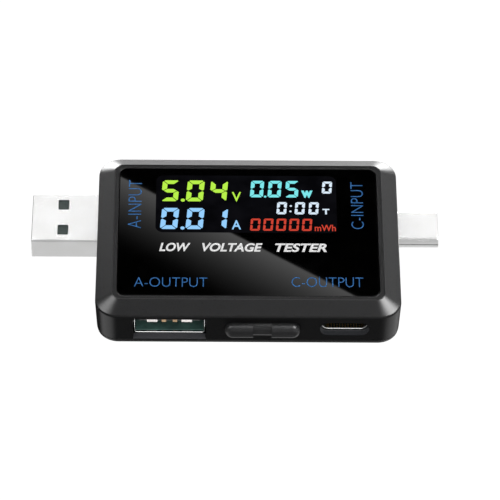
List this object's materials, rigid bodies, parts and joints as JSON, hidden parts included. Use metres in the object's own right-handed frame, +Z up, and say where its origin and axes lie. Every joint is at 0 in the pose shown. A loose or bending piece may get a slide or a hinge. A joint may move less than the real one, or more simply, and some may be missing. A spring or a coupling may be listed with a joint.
{
  "type": "usb power meter",
  "caption": "Flat inline power meter with a colour display, a type A and a type C plug on its ends, a type A and a type C socket and a sprung key on its front.",
  "frame": {"origin": "centre of the housing's flat underside", "axes": "+X towards the type C plug, +Y away from the sockets and key, +Z up through the display"},
  "size_m": [0.0753, 0.0415, 0.0094],
  "materials": {
    "housing_plastic": "fine-textured charcoal ABS",
    "key_plastic": "satin charcoal ABS",
    "window_acrylic": "polished acrylic, printed black behind",
    "display_glass": "dark display cell",
    "light_guide": "white moulded",
    "flexible_strip": "amber polyimide",
    "board_laminate": "green solder mask",
    "nickel_shell": "bright nickel plate",
    "dark_insulator": "moulded",
    "pale_insulator": "moulded",
    "gilt_contact": "gold plate",
    "tinned_contact": "tin plate",
    "screw_steel": "zinc plate",
    "chip_epoxy": "moulded epoxy",
    "capacitor_body": "fired ceramic",
    "shunt_alloy": "bare alloy",
    "coil_ferrite": "pressed ferrite"
  },
  "bodies": {
    "meter": {"top_cover": "housing_plastic", "bottom_cover": "housing_plastic", "window_lens": "window_acrylic", "display_cell": "display_glass", "light_guide": "light_guide", "backlight_1": "light_guide", "backlight_2": "light_guide", "backlight_3": "light_guide", "display_ribbon": "flexible_strip", "main_board": "board_laminate", "case_screw_1": "screw_steel", "case_screw_2": "screw_steel", "case_screw_3": "screw_steel", "case_screw_4": "screw_steel", "type_a_plug_shell": "nickel_shell", "type_a_plug_tongue": "dark_insulator", "type_a_plug_contact_1": "gilt_contact", "type_a_plug_contact_2": "gilt_contact", "type_a_plug_contact_3": "gilt_contact", "type_a_plug_contact_4": "gilt_contact", "type_a_socket_shell": "nickel_shell", "type_a_socket_tongue": "dark_insulator", "type_a_socket_contact_1": "tinned_contact", "type_a_socket_contact_2": "gilt_contact", "type_a_socket_contact_3": "gilt_contact", "type_a_socket_contact_4": "tinned_contact", "type_c_plug_shell": "nickel_shell", "type_c_plug_insulator": "dark_insulator", "type_c_plug_block": "dark_insulator", "type_c_socket_shell": "nickel_shell", "type_c_socket_tongue": "dark_insulator", "switch_body": "chip_epoxy", "switch_cover": "tinned_contact", "controller_chip": "chip_epoxy", "protocol_chip": "chip_epoxy", "regulator": "chip_epoxy", "input_switch_chip": "chip_epoxy", "output_switch_chip": "chip_epoxy", "shunt_resistor": "shunt_alloy", "crystal": "tinned_contact", "power_coil": "coil_ferrite", "filter_capacitor_1": "capacitor_body", "filter_capacitor_2": "capacitor_body", "filter_capacitor_3": "capacitor_body", "filter_capacitor_4": "capacitor_body"},
    "key": {"function_key": "key_plastic"},
    "plunger": {"switch_plunger": "pale_insulator"}
  },
  "joints": [
    {"name": "key_press", "type": "slide", "parent": "meter", "child": "key", "axis": [0, 1, 0], "range_m": [0, 0.0003], "stiffness_N_per_m": 800},
    {"name": "plunger_press", "type": "slide", "parent": "meter", "child": "plunger", "axis": [0, 1, 0], "range_m": [0, 0.0003]}
  ],
  "couplings": [
    {"joint": "plunger_press", "follows": "key_press", "ratio": 1}
  ]
}
